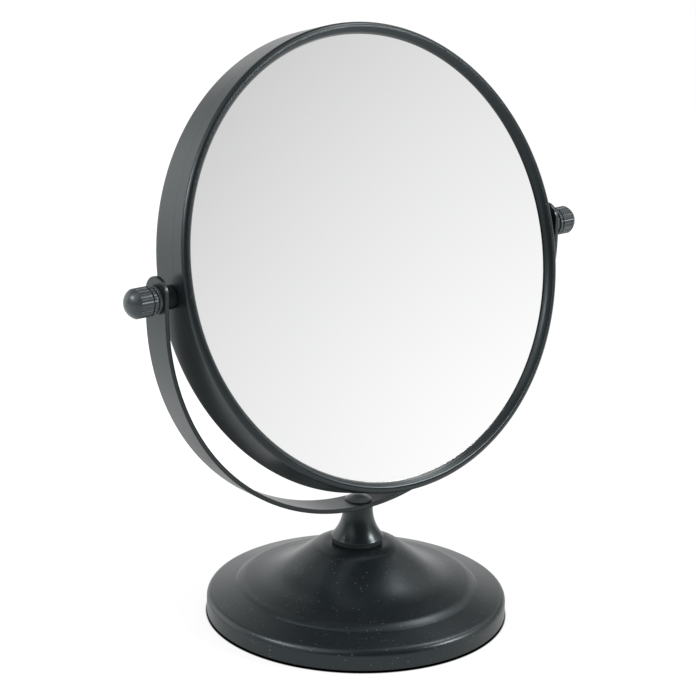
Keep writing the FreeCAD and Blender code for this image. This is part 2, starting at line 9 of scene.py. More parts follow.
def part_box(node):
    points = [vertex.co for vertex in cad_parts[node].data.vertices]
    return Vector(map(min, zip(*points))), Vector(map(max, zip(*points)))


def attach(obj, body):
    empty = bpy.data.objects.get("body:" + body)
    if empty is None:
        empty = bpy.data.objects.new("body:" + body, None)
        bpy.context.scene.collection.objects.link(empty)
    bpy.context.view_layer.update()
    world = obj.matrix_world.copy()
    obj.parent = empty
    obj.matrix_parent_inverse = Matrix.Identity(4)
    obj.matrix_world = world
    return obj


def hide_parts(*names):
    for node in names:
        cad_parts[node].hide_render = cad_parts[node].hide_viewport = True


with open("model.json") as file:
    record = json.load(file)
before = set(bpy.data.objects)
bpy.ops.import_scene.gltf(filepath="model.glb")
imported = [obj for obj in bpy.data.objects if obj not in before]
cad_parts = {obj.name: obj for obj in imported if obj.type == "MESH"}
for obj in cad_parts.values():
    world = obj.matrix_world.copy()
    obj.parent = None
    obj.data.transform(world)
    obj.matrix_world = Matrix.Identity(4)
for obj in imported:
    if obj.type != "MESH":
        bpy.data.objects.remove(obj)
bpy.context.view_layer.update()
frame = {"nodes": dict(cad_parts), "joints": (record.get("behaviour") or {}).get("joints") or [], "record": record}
nodes = frame["nodes"]
joints = {joint["name"]: joint for joint in frame["joints"]}
mm = 0.001
pivot = Vector(joints["head_tilt"]["pos_m"])  # middle of the tilt axis
print("frame loaded,", len(nodes), "nodes")


# Outlines of turned pieces: (radius, height) in mm

def boxInMm(node):
    low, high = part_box(node)
    return low / mm, high / mm


def bow(start, end, radius, steps=16):
    # points between start and end on an arc that bulges left of the way there, or right below zero
    a, b = Vector(start), Vector(end)
    chord = b - a
    bulge = math.copysign(1, radius)
    side = Vector((-chord.y, chord.x)).normalized() * bulge
    centre = (a + b) / 2 - side * math.sqrt(radius ** 2 - chord.length_squared / 4)
    swing = -2 * bulge * math.asin(chord.length / 2 / abs(radius))
    return [tuple(centre + Matrix.Rotation(swing * k / steps, 2) @ (a - centre)) for k in range(1, steps)]


def softOutline(corners, steps=8):
    # a third number rounds its corner; guard points beside the round keep the walls flat in shading
    points = []
    for i, corner in enumerate(corners):
        here = Vector(corner[:2])
        if len(corner) < 3:
            points.append(here)
            continue
        back = Vector(corners[i - 1][:2]) - here
        ahead = Vector(corners[(i + 1) % len(corners)][:2]) - here
        half = back.angle(ahead) / 2
        reach = corner[2] / math.tan(half)
        guard = min(0.4 * reach + 0.1, (back.length - reach) / 3, (ahead.length - reach) / 3)
        back.normalize()
        ahead.normalize()
        centre = here + (back + ahead).normalized() * corner[2] / math.sin(half)
        first = here + back * reach - centre
        swing = (math.pi - 2 * half) * (1 if back.cross(ahead) < 0 else -1)
        points.append(here + back * (reach + guard))
        for k in range(steps + 1):
            points.append(centre + Matrix.Rotation(swing * k / steps, 2) @ first)
        points.append(here + ahead * (reach + guard))
    return [tuple(point) for point in points]


def insetOutline(points, wall):
    # the same line moved to its right by the wall's thickness, or to its left below zero
    moved = []
    for i, point in enumerate(points):
        before = Vector(points[max(i - 1, 0)])
        after = Vector(points[min(i + 1, len(points) - 1)])
        along = (after - before).normalized()
        moved.append((point[0] + along.y * wall, point[1] - along.x * wall))
    return moved


# Meshes and pieces

def turnedMesh(name, points, segments=160, closed=False):
    # turns an outline about local Z; points on the axis become poles
    shape = bmesh.new()
    rings = []
    for radius, height in points:
        if radius < 1e-5:
            rings.append([shape.verts.new((0, 0, height * mm))])
            continue
        turns = [2 * math.pi * k / segments for k in range(segments)]
        spots = [(radius * mm * math.cos(t), radius * mm * math.sin(t), height * mm) for t in turns]
        rings.append([shape.verts.new(spot) for spot in spots])
    pairs = list(zip(rings, rings[1:]))
    if closed:
        pairs.append((rings[-1], rings[0]))
    for low, high in pairs:
        for k in range(segments):
            n = (k + 1) % segments
            around = (low[k % len(low)], low[n % len(low)], high[n % len(high)], high[k % len(high)])
            face = list(dict.fromkeys(around))
            if len(face) > 2:
                shape.faces.new(face)
    bmesh.ops.recalc_face_normals(shape, faces=shape.faces)
    mesh = bpy.data.meshes.new(name)
    shape.to_mesh(mesh)
    shape.free()
    return mesh


def shadeByAngle(mesh, degrees=28):
    mesh.shade_smooth()
    mesh.set_sharp_from_angle(angle=math.radians(degrees))


def addPiece(name, mesh, place, finish, body, slotName, *replaced):
    mesh.transform(place)
    shadeByAngle(mesh)
    if not mesh.materials:
        mesh.materials.append(finish)
    piece = bpy.data.objects.new(name, mesh)
    bpy.context.scene.collection.objects.link(piece)
    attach(piece, body)
    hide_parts(*replaced)


# Node helpers

def link(tree, source, target):
    tree.links.new(source, target)


def addNode(tree, kind, **values):
    node = tree.nodes.new(kind)
    for key, value in values.items():
        setattr(node, key, value)
    return node


def newGroup(name, inputs, outputs):
    tree = bpy.data.node_groups.new(name, "ShaderNodeTree")
    for label, value in inputs:
        socket = tree.interface.new_socket(label, in_out="INPUT", socket_type="NodeSocketFloat")
        socket.default_value = value
    for label in outputs:
        tree.interface.new_socket(label, in_out="OUTPUT", socket_type="NodeSocketFloat")
    return tree, tree.nodes.new("NodeGroupInput"), tree.nodes.new("NodeGroupOutput")


def placeGroup(tree, group, **values):
    node = addNode(tree, "ShaderNodeGroup", node_tree=group)
    for label, value in values.items():
        node.inputs[label].default_value = value
    return node


def mapped(tree, value, low, high, fromLow=0.0, fromHigh=1.0, shape="LINEAR"):
    node = addNode(tree, "ShaderNodeMapRange", clamp=True, interpolation_type=shape)
    link(tree, value, node.inputs["Value"])
    node.inputs["From Min"].default_value = fromLow
    node.inputs["From Max"].default_value = fromHigh
    node.inputs["To Min"].default_value = low
    node.inputs["To Max"].default_value = high
    return node.outputs["Result"]


def mixed(tree, factor, first, second):
    # two colours, each a socket or plain numbers
    node = addNode(tree, "ShaderNodeMix", data_type="RGBA")
    link(tree, factor, node.inputs[0])
    for socket, colour in ((node.inputs[6], first), (node.inputs[7], second)):
        if isinstance(colour, tuple):
            socket.default_value = (*colour, 1)
        else:
            link(tree, colour, socket)
    return node.outputs[2]


def worked(tree, operation, *values):
    # one step of arithmetic; each value a socket or a number
    node = addNode(tree, "ShaderNodeMath", operation=operation)
    for socket, value in zip(node.inputs, values):
        if isinstance(value, (int, float)):
            socket.default_value = value
        else:
            link(tree, value, socket)
    return node.outputs["Value"]


def newFinish(name):
    finish = bpy.data.materials.new(name)
    finish.use_nodes = True
    return finish, finish.node_tree, finish.node_tree.nodes["Principled BSDF"]


def addBump(tree, shader, height, depth):
    bump = addNode(tree, "ShaderNodeBump")
    bump.inputs["Strength"].default_value = 1.0
    bump.inputs["Distance"].default_value = depth * mm
    link(tree, height, bump.inputs["Height"])
    link(tree, bump.outputs["Normal"], shader.inputs["Normal"])


# Effects that several finishes share

def buildGrain():
    # fine grain for the relief, broad mottling for tone and gloss; scales are features per metre
    tree, given, out = newGroup("fineGrain", [("Grain", 700.0), ("Mottle", 30.0)], ["Height", "Tone"])
    spot = addNode(tree, "ShaderNodeTexCoord")
    for label, target, detail in (("Grain", "Height", 1.5), ("Mottle", "Tone", 3.0)):
        noise = addNode(tree, "ShaderNodeTexNoise")
        noise.inputs["Detail"].default_value = detail
        link(tree, spot.outputs["Object"], noise.inputs["Vector"])
        link(tree, given.outputs[label], noise.inputs["Scale"])
        link(tree, noise.outputs["Fac"], out.inputs[target])
    return tree


def buildSpecks():
    # scattered pale dust: a dot in the middle of a few cells, as many as Amount says
    inputs = [("Cells", 300.0), ("Size", 0.2), ("Amount", 0.2)]
    tree, given, out = newGroup("paleSpecks", inputs, ["Mask"])
    spot = addNode(tree, "ShaderNodeTexCoord")
    cells = addNode(tree, "ShaderNodeTexVoronoi")
    link(tree, spot.outputs["Object"], cells.inputs["Vector"])
    link(tree, given.outputs["Cells"], cells.inputs["Scale"])
    dot = addNode(tree, "ShaderNodeMapRange", clamp=True)
    link(tree, cells.outputs["Distance"], dot.inputs["Value"])
    link(tree, given.outputs["Size"], dot.inputs["From Max"])
    dot.inputs["To Min"].default_value = 1.0
    dot.inputs["To Max"].default_value = 0.0
    pick = addNode(tree, "ShaderNodeSeparateColor")
    link(tree, cells.outputs["Color"], pick.inputs["Color"])
    chosen = worked(tree, "LESS_THAN", pick.outputs["Red"], given.outputs["Amount"])
    link(tree, worked(tree, "MULTIPLY", dot.outputs["Result"], chosen), out.inputs["Mask"])
    return tree


grainGroup = buildGrain()
specksGroup = buildSpecks()
noiseSpan = (0.3, 0.7)  # where most of the grain's values lie


# Finishes

paint = {
    "dark": (0.0058, 0.0080, 0.0092),
    "pale": (0.0095, 0.0125, 0.0140),
    "dust": (0.11, 0.12, 0.13),
    "tint": (0.85, 0.97, 1.0),  # of the reflections
    "gloss": (0.28, 0.34),  # roughness, smooth to dull
    "grain": 750.0,  # features per metre
    "mottle": 38.0,
    "cells": 480.0,  # that may hold a speck of dust, per metre
    "relief": 0.006,  # mm
}


def coatedFinish(name, look, dustAmount, dustSize=0.14):
    # sprayed coat: mottled tone, orange-peel relief and a little pale dust
    finish, tree, shader = newFinish(name)
    shader.inputs["Specular Tint"].default_value = (*look["tint"], 1)
    grain = placeGroup(tree, grainGroup, Grain=look["grain"], Mottle=look["mottle"])
    dust = placeGroup(tree, specksGroup, Cells=look["cells"], Size=dustSize, Amount=dustAmount)
    tone = mixed(tree, grain.outputs["Tone"], look["dark"], look["pale"])
    link(tree, mixed(tree, dust.outputs["Mask"], tone, look["dust"]), shader.inputs["Base Color"])
    link(tree, mapped(tree, grain.outputs["Tone"], *look["gloss"], *noiseSpan), shader.inputs["Roughness"])
    addBump(tree, shader, grain.outputs["Height"], look["relief"])
    return finish


lacquer = {
    "dark": (0.030, 0.034, 0.037),
    "pale": (0.038, 0.043, 0.046),
    "dust": (0.12, 0.13, 0.14),
    "tint": (0.87, 0.98, 1.0),
    "gloss": (0.26, 0.32),
    "grain": 1100.0,
    "mottle": 38.0,
    "cells": 480.0,
    "relief": 0.006,
}

mirrorGlass = {"silver": (0.91, 0.915, 0.91), "smear": (0.90, 0.905, 0.905), "mottle": 14.0}


def mirrorFinish(name, look):
    # silvered glass, with the faintest wiping marks in its tone
    finish, tree, shader = newFinish(name)
    grain = placeGroup(tree, grainGroup, Mottle=look["mottle"])
    shader.inputs["Metallic"].default_value = 1.0
    shader.inputs["Roughness"].default_value = 0.0
    tone = mixed(tree, grain.outputs["Tone"], look["silver"], look["smear"])
    link(tree, tone, shader.inputs["Base Color"])
    return finish


plainSteel = {
    "dark": (0.42, 0.43, 0.44),
    "pale": (0.62, 0.62, 0.61),
    "gloss": (0.28, 0.46),
    "grain": 420.0,
    "mottle": 90.0,
    "relief": 0.004,
}
castIron = {
    "dark": (0.07, 0.07, 0.072),
    "pale": (0.16, 0.155, 0.15),
    "gloss": (0.55, 0.8),
    "grain": 380.0,
    "mottle": 90.0,
    "relief": 0.06,
}
softBlack = {
    "dark": (0.005, 0.008, 0.009),
    "pale": (0.011, 0.015, 0.016),
    "gloss": (0.75, 0.95),
    "grain": 1400.0,
    "mottle": 160.0,
    "relief": 0.05,
}
blackNylon = {
    "dark": (0.005, 0.008, 0.009),
    "pale": (0.010, 0.014, 0.015),
    "gloss": (0.42, 0.55),
    "grain": 900.0,
    "mottle": 160.0,
    "relief": 0.008,
}
fibreBoard = {
    "dark": (0.20, 0.13, 0.08),
    "pale": (0.40, 0.29, 0.19),
    "gloss": (0.8, 0.95),
    "grain": 500.0,
    "mottle": 160.0,
    "relief": 0.03,
}


def grainedFinish(name, look, metallic=0.0):
    finish, tree, shader = newFinish(name)
    grain = placeGroup(tree, grainGroup, Grain=look["grain"], Mottle=look["mottle"])
    shader.inputs["Metallic"].default_value = metallic
    link(tree, mixed(tree, grain.outputs["Tone"], look["dark"], look["pale"]), shader.inputs["Base Color"])
    link(tree, mapped(tree, grain.outputs["Height"], *look["gloss"], *noiseSpan), shader.inputs["Roughness"])
    addBump(tree, shader, grain.outputs["Height"], look["relief"])
    return finish


finishes = {
    "black_paint": coatedFinish("satinBlackPaint", paint, 0.05),
    "black_lacquer": coatedFinish("glossyBlackLacquer", lacquer, 0.03),
    "mirror_glass": mirrorFinish("silveredGlass", mirrorGlass),
    "plain_steel": grainedFinish("platedSteel", plainSteel, 1.0),
    "iron": grainedFinish("castIron", castIron, 1.0),
    "soft_black": grainedFinish("softBlackFoam", softBlack),
    "black_nylon": grainedFinish("mouldedNylon", blackNylon),
    "fibre_board": grainedFinish("pressedBoard", fibreBoard),
}
basePaint = coatedFinish("dustedBlackPaint", paint, 0.55, 0.19)
print("finishes ready:", len(finishes) + 1)

# every CAD node that stays gets the finish of its slot
for entry in frame["record"]["subparts"]:
    node = nodes[entry["node"]]
    node.data.materials.clear()
    node.data.materials.append(finishes[entry["material_slot"]])


# Base and neck

upright = Matrix.Identity(4)
low, high = boxInMm("base_shell")
base = {
    "rimRadius": high.x,
    "foot": low.z,
    "seat": high.z,
    "wall": 1.0,
    "boltHole": 3.3,
    "rim": (9.6, 3.5),  # height of the shoulder, and its round
    "stepFoot": (54.8, 13.35, 0.6),
    "stepTop": (52.5, 15.3, 10.5),
    "bellFoot": (37.0, 18.4, 34.0),
    "crown": (17.4, 12.0),  # radius where the flank would meet the seat, and its round
    "hem": (65.3, 1.6),  # inner edge and top of the rolled hem
    "hemBevel": 0.3,
    "footRound": 0.4,
}


def buildBase(size):
    skin = softOutline([
        (size["rimRadius"] - size["wall"], size["foot"]),
        (size["rimRadius"], size["foot"], size["footRound"]),
        (size["rimRadius"], *size["rim"]),
        size["stepFoot"],
        size["stepTop"],
        size["bellFoot"],
        (size["crown"][0], size["seat"], size["crown"][1]),
        (size["boltHole"], size["seat"]),
    ], steps=12)
    hemEdge, hemTop = size["hem"]
    bevel = size["hemBevel"]
    inner = [point for point in insetOutline(skin, -size["wall"]) if point[1] > hemTop + bevel]
    hem = [
        (size["rimRadius"] - size["wall"], hemTop),
        (hemEdge + bevel, hemTop),
        (hemEdge, hemTop - bevel),
        (hemEdge, size["foot"] + bevel),
        (hemEdge + bevel, size["foot"]),
    ]
    mesh = turnedMesh("baseShell", skin + inner[::-1] + hem, segments=288, closed=True)
    addPiece("baseShell", mesh, upright, basePaint, "stand", "black_paint", "base_shell")


buildBase(base)

low, high = boxInMm("neck")
neck = {
    "foot": low.z,
    "top": high.z,
    "footRadius": high.x,
    "topRadius": 6.65,
    "bore": 3.3,
    "lip": 0.6,  # height of the foot's rim
    "lipBevel": 0.12,
    "footRound": 0.2,
    "straight": 1.4,  # plain length under the yoke
}


def buildNeck(size):
    rim = (size["footRadius"], size["foot"] + size["lip"])
    waist = (size["topRadius"], size["top"] - size["straight"])
    spread = rim[0] - waist[0]
    rise = waist[1] - rim[1]
    flare = (spread ** 2 + rise ** 2) / (2 * spread)
    points = softOutline([
        (size["bore"], size["foot"]),
        (size["footRadius"], size["foot"], size["footRound"]),
        (rim[0], rim[1] - 0.05),  # keeps the rim's wall flat in shading
        (rim[0] - size["lipBevel"], rim[1] + size["lipBevel"]),
    ])
    points += bow(rim, waist, flare, 24)[1:]
    points += [waist, (size["topRadius"], size["top"]), (size["bore"], size["top"])]
    mesh = turnedMesh("neck", points, closed=True)
    addPiece("neckSpindle", mesh, upright, finishes["black_paint"], "stand", "black_paint", "neck")


buildNeck(neck)

low, high = boxInMm("neck_washer")
washer = {"bore": 3.3, "radius": high.x, "low": low.z, "high": high.z, "round": 0.3}
points = softOutline([
    (washer["bore"], washer["low"]),
    (washer["radius"], washer["low"], washer["round"]),
    (washer["radius"], washer["high"], washer["round"]),
    (washer["bore"], washer["high"]),
])
mesh = turnedMesh("neckWasher", points, closed=True)
addPiece("neckWasher", mesh, upright, finishes["soft_black"], "stand", "soft_black", "neck_washer")

low, high = boxInMm("yoke_bolt")
bolt = {
    "tip": low.z,
    "top": high.z,
    "shank": 3.0,
    "headRadius": high.x,
    "rise": 2.3,  # of the head
    "edge": 0.35,  # height of its rim
    "bevel": (0.1, 0.12),  # under the rim, across and up
}


def buildBolt(size):
    seat = size["top"] - size["rise"]
    dome = size["rise"] - size["edge"]
    curve = (size["headRadius"] ** 2 + dome ** 2) / (2 * dome)
    rim = (size["headRadius"], seat + size["edge"])
    across, up = size["bevel"]
    points = [(0, size["tip"]), (size["shank"], size["tip"]), (size["shank"], seat)]
    points += [(rim[0] - across, seat), (rim[0], seat + up), rim]
    points += [*bow(rim, (0, size["top"]), -curve), (0, size["top"])]
    mesh = turnedMesh("yokeBolt", points, segments=96)
    addPiece("yokeBolt", mesh, upright, finishes["black_lacquer"], "stand", "black_lacquer", "yoke_bolt")


buildBolt(bolt)
print("base and neck done")


# Yoke: a flat strip with round ends, bent to a U

low, high = boxInMm("yoke")
yoke = {
    "outside": high.x,
    "bottom": low.z,
    "top": high.z,
    "width": high.y - low.y,
    "thick": 2.0,
    "edge": 0.35,  # round of the edges
    "stepsAlong": 200,
    "stepsEnd": 28,
    "stepsEdge": 6,
}


def buildYoke(size):
    middle = size["outside"] - size["thick"] / 2
    bend = size["bottom"] + size["outside"]  # height of the bend's centre
    quarter = math.pi / 2 * middle
    half = size["width"] / 2
    reach = quarter + size["top"] - bend - half  # from the lowest point to the centre of a round end
    edge = size["edge"]
    face = size["thick"] / 2
    # how far in and how high each loop of the strip lies, from the middle of one face to that of the other
    turns = [math.pi / 2 * k / size["stepsEdge"] for k in range(size["stepsEdge"] + 1)]
    rounded = [(edge * (1 - math.sin(a)), face - edge * (1 - math.cos(a))) for a in turns]
    upper = [(half, face), (half / 2, face), (edge + 0.5, face), (edge + 0.15, face), *rounded]
    loops = upper + [(inset, -height) for inset, height in reversed(upper)]

    def bent(along, across, height):
        radius = middle + height
        if abs(along) < quarter:
            turn = along / middle
            return radius * math.sin(turn), across, bend - radius * math.cos(turn)
        return math.copysign(radius, along), across, bend + abs(along) - quarter

    def stadium(radius):
        # the strip's plan: one long side, a round end, the other side, the other end
        spots = []
        for sign in (1, -1):
            steps = size["stepsAlong"]
            spots += [(sign * reach * (2 * k / steps - 1), -sign * radius) for k in range(steps)]
            for k in range(size["stepsEnd"]):
                angle = math.pi * k / size["stepsEnd"] - math.pi / 2
                spots.append((sign * (reach + radius * math.cos(angle)), sign * radius * math.sin(angle)))
        return spots

    shape = bmesh.new()
    rings = []
    for inset, height in loops:
        spots = stadium(half - inset)
        rings.append([shape.verts.new(Vector(bent(s, y, height)) * mm) for s, y in spots])
    count = len(rings[0])
    for lower, upperRing in zip(rings, rings[1:]):
        for k in range(count):
            n = (k + 1) % count
            shape.faces.new((lower[k], lower[n], upperRing[n], upperRing[k]))
    bmesh.ops.remove_doubles(shape, verts=shape.verts, dist=1e-7)
    bmesh.ops.recalc_face_normals(shape, faces=shape.faces)
    mesh = bpy.data.meshes.new("yokeStrip")
    shape.to_mesh(mesh)
    shape.free()
    addPiece("yokeStrip", mesh, upright, finishes["black_paint"], "stand", "black_paint", "yoke")


buildYoke(yoke)
print("yoke done")


# Head: outlines are measured forward from the rear face

head = {
    "tilt": 16.5,  # degrees that the rest pose leans back
    "pivotDepth": 9.35,  # the tilt axis, forward from the rear face
    "radius": 101.5,
    "view": 96.4,  # radius of the mirror that shows
    "wall": 1.0,
    "rearRound": 2.0,
    "rearLip": (0.3, 0.2),  # rounds of the rear lip, outside and inside
    "seam": 14.05,
    "seamBevel": 0.04,
    "bead": ((101.5, 22.0, 2.2), (98.5, 22.0, 1.6), (97.1, 20.6, 2.0)),  # corners with their rounds
    "lip": 0.15,  # rise above the flat mirror
    "spigot": (98.5, 100.4, 4.2),  # bore, outside and length
}
glass = {
    "thick": 2.0,
    "frontRadius": 98.2,
    "front": 18.7,  # face of the flat mirror
    "rearRadius": 99.5,
    "rear": 1.8,  # face of the magnifying mirror's land
    "land": 95.0,
    "curve": 600.0,
    "ground": 0.3,  # bevel at the edges
}

turnForward = Matrix.Rotation(math.radians(90 - head["tilt"]), 4, "X")
headPlace = Matrix.Translation(pivot) @ turnForward @ Matrix.Translation((0, 0, -head["pivotDepth"] * mm))


def buildDrum(size):
    edge = size["radius"]
    bore = edge - size["wall"]
    outside, inside = size["rearLip"]
    points = softOutline([
        (size["view"], 0, outside),
        (edge, 0, size["rearRound"]),
        (edge, size["seam"] - size["seamBevel"]),
        (edge - size["seamBevel"], size["seam"]),
        (bore, size["seam"]),
        (bore, size["wall"]),
        (size["view"], size["wall"], inside),
    ])
    mesh = turnedMesh("headDrum", points, segments=288, closed=True)
    addPiece("headDrum", mesh, headPlace, finishes["black_paint"], "head", "black_paint", "head_shell")


def buildBezel(size):
    edge = size["radius"]
    bore, outside, length = size["spigot"]
    seat = glass["front"]
    points = softOutline([
        (edge - size["seamBevel"], size["seam"]),
        (edge, size["seam"] + size["seamBevel"]),
        *size["bead"],
        (size["view"], seat + size["lip"]),
        (size["view"], seat),
        (bore, seat),
        (bore, size["seam"] - length),
        (outside, size["seam"] - length),
        (outside, size["seam"]),
    ], steps=10)
    mesh = turnedMesh("frontBezel", points, segments=288, closed=True)
    addPiece("frontBezel", mesh, headPlace, finishes["black_paint"], "head", "black_paint", "front_bezel")


buildDrum(head)
buildBezel(head)


def buildMirrors(size):
    back = size["front"] - size["thick"]
    edge, ground = size["frontRadius"], size["ground"]
    points = [(0, back), (edge - ground, back), (edge, back + ground), (edge, size["front"] - ground)]
    points += [(edge - ground, size["front"]), (0, size["front"])]
    mesh = turnedMesh("flatMirror", points, segments=192)
    finish = finishes["mirror_glass"]
    addPiece("flatMirror", mesh, headPlace, finish, "head", "mirror_glass", "front_mirror")
    sag = size["curve"] - math.sqrt(size["curve"] ** 2 - size["land"] ** 2)
    rear, front = size["rear"], size["rear"] + size["thick"]
    edge = size["rearRadius"]
    points = [(0, rear + sag), *bow((0, rear + sag), (size["land"], rear), size["curve"], 36)]
    points += [(size["land"], rear), (edge - ground, rear), (edge, rear + ground), (edge, front)]
    points += [(size["land"], front), *bow((size["land"], front), (0, front + sag), -size["curve"], 36)]
    mesh = turnedMesh("magnifyingMirror", points + [(0, front + sag)], segments=192)
    addPiece("magnifyingMirror", mesh, headPlace, finish, "head", "mirror_glass", "rear_mirror")


buildMirrors(glass)
print("head done")


# Pivots and knobs: outlines are measured outward along the tilt axis

sides = {"left": -90, "right": 90}


def onAxis(node):
    # radius, start and end
    low, high = boxInMm(node)
    return (high.y - low.y) / 2, low.x, high.x


stack = {
    # radius, start, end and round of each
    "bush": (*onAxis("right_pivot_bush"), 0.4),
    "friction": (*onAxis("right_friction_washer"), 0.2),
    "washer": (*onAxis("right_knob_washer"), 0.5),
    "bore": 2.55,
}


def outward(side):
    return Matrix.Translation(pivot) @ Matrix.Rotation(math.radians(sides[side]), 4, "Y")


def hoop(radius, start, end, bend):
    return softOutline([
        (stack["bore"], start),
        (radius, start, bend),
        (radius, end, bend),
        (stack["bore"], end),
    ])


def buildPivot(side):
    place = outward(side)
    nylon = finishes["black_nylon"]
    mesh = turnedMesh(side + "Bush", hoop(*stack["bush"]), segments=72, closed=True)
    addPiece(side + "Bush", mesh, place, nylon, "head", "black_nylon", side + "_pivot_bush")
    mesh = turnedMesh(side + "FrictionWasher", hoop(*stack["friction"]), segments=72, closed=True)
    addPiece(side + "FrictionWasher", mesh, place, nylon, "head", "black_nylon", side + "_friction_washer")
    mesh = turnedMesh(side + "KnobWasher", hoop(*stack["washer"]), segments=96, closed=True)
    shiny = finishes["black_lacquer"]
    body = side + "_washer"
    addPiece(side + "KnobWasher", mesh, place, shiny, body, "black_lacquer", side + "_knob_washer")


low, high = boxInMm("right_knob")
knob = {
    "radius": 6.35,  # over the knurls
    "root": 5.95,
    "ribs": 28,
    "ribWidth": 1.15,
    "seat": low.x,
    "seatRound": 0.2,
    "shoulder": (5.5, low.x + 1.2),  # radius and end
    "ringEnd": low.x + 2.4,
    "groove": (5.7, low.x + 3.1),
    "bandEnd": low.x + 8.7,
    "domeLip": 0.15,
    "top": high.x,
    "boreEnd": low.x + 7.9,
}


def addNumber(tree, label, kind):
    return tree.interface.new_socket(label, in_out="INPUT", socket_type=kind)


def buildKnurlTree():
    # ribs round a turned core: a short one for the ring and a long one for the band at each place
    tree = bpy.data.node_groups.new("knurlRibs", "GeometryNodeTree")
    tree.interface.new_socket("Geometry", in_out="INPUT", socket_type="NodeSocketGeometry")
    addNumber(tree, "Ribs", "NodeSocketInt")
    for label in ("Root Radius", "Rib Height", "Rib Width"):
        addNumber(tree, label, "NodeSocketFloat")
    for label in ("Ring Start", "Ring Length", "Band Start", "Band Length"):
        addNumber(tree, label, "NodeSocketFloat")
    addNumber(tree, "Finish", "NodeSocketMaterial")
    tree.interface.new_socket("Geometry", in_out="OUTPUT", socket_type="NodeSocketGeometry")
    given = tree.nodes.new("NodeGroupInput")
    out = tree.nodes.new("NodeGroupOutput")
    halfWidth = worked(tree, "DIVIDE", given.outputs["Rib Width"], 2.0)
    pair = addNode(tree, "GeometryNodeJoinGeometry")
    for zone in ("Ring", "Band"):
        length = given.outputs[zone + " Length"]
        bar = addNode(tree, "GeometryNodeMeshCylinder")
        bar.inputs["Vertices"].default_value = 8
        bar.inputs["Radius"].default_value = 1.0
        bar.inputs["Depth"].default_value = 1.0
        scale = addNode(tree, "ShaderNodeCombineXYZ")
        link(tree, given.outputs["Rib Height"], scale.inputs["X"])
        link(tree, halfWidth, scale.inputs["Y"])
        link(tree, length, scale.inputs["Z"])
        shift = addNode(tree, "ShaderNodeCombineXYZ")
        middle = worked(tree, "MULTIPLY_ADD", length, 0.5, given.outputs[zone + " Start"])
        link(tree, middle, shift.inputs["Z"])
        move = addNode(tree, "GeometryNodeTransform")
        link(tree, bar.outputs["Mesh"], move.inputs["Geometry"])
        link(tree, scale.outputs["Vector"], move.inputs["Scale"])
        link(tree, shift.outputs["Vector"], move.inputs["Translation"])
        link(tree, move.outputs["Geometry"], pair.inputs["Geometry"])
    circle = addNode(tree, "GeometryNodeMeshCircle")
    link(tree, given.outputs["Ribs"], circle.inputs["Vertices"])
    link(tree, given.outputs["Root Radius"], circle.inputs["Radius"])
    radial = addNode(tree, "FunctionNodeAlignRotationToVector", axis="X")
    spot = addNode(tree, "GeometryNodeInputPosition")
    link(tree, spot.outputs["Position"], radial.inputs["Vector"])
    copies = addNode(tree, "GeometryNodeInstanceOnPoints")
    link(tree, circle.outputs["Mesh"], copies.inputs["Points"])
    link(tree, pair.outputs["Geometry"], copies.inputs["Instance"])
    link(tree, radial.outputs["Rotation"], copies.inputs["Rotation"])
    whole = addNode(tree, "GeometryNodeJoinGeometry")
    link(tree, given.outputs["Geometry"], whole.inputs["Geometry"])
    link(tree, copies.outputs["Instances"], whole.inputs["Geometry"])
    real = addNode(tree, "GeometryNodeRealizeInstances")
    link(tree, whole.outputs["Geometry"], real.inputs["Geometry"])
    paintIt = addNode(tree, "GeometryNodeSetMaterial")
    link(tree, real.outputs["Geometry"], paintIt.inputs["Geometry"])
    link(tree, given.outputs["Finish"], paintIt.inputs["Material"])
    link(tree, paintIt.outputs["Geometry"], out.inputs["Geometry"])
    return tree


def withNodes(mesh, tree, values):
    # runs a geometry tree on a mesh and returns the result as a plain mesh
    carrier = bpy.data.objects.new("carrier", mesh)
    bpy.context.scene.collection.objects.link(carrier)
    modifier = carrier.modifiers.new("shape", "NODES")
    modifier.node_group = tree
    for socket in tree.interface.items_tree:
        if socket.item_type == "SOCKET" and socket.in_out == "INPUT" and socket.name in values:
            modifier[socket.identifier] = values[socket.name]
    carrier.update_tag()
    evaluated = carrier.evaluated_get(bpy.context.evaluated_depsgraph_get())
    result = bpy.data.meshes.new_from_object(evaluated)
    bpy.data.objects.remove(carrier)
    return result


def buildKnob(side, size, tree):
    radius, root = size["radius"], size["root"]
    shoulder, shoulderEnd = size["shoulder"]
    groove, grooveEnd = size["groove"]
    lip = size["domeLip"]
    shiny = finishes["black_lacquer"]
    rise = size["top"] - size["bandEnd"]
    dome = (radius ** 2 + rise ** 2) / (2 * rise)
    rim = (radius, size["bandEnd"])
    points = softOutline([
        (0, size["boreEnd"]),
        (stack["bore"], size["boreEnd"]),
        (stack["bore"], size["seat"]),
        (shoulder, size["seat"], size["seatRound"]),
        (shoulder, shoulderEnd),
        (root, shoulderEnd),
        (root, size["ringEnd"]),
        (groove, size["ringEnd"]),
        (groove, grooveEnd),
        (root, grooveEnd),
        (root, size["bandEnd"] - lip),
        (radius - lip, size["bandEnd"] - lip),
    ])
    points += [rim, *bow(rim, (0, size["top"]), -dome, 24), (0, size["top"])]
    values = {
        "Ribs": size["ribs"],
        "Root Radius": root * mm,
        "Rib Height": (radius - root) * mm,
        "Rib Width": size["ribWidth"] * mm,
        "Ring Start": shoulderEnd * mm,
        "Ring Length": (size["ringEnd"] - shoulderEnd) * mm,
        "Band Start": grooveEnd * mm,
        "Band Length": (size["bandEnd"] - grooveEnd) * mm,
        "Finish": shiny,
    }
    core = turnedMesh(side + "Knob", points, segments=144)
    core.materials.append(shiny)
    mesh = withNodes(core, tree, values)
    addPiece(side + "Knob", mesh, outward(side), shiny, side + "_nut", "black_lacquer", side + "_knob")


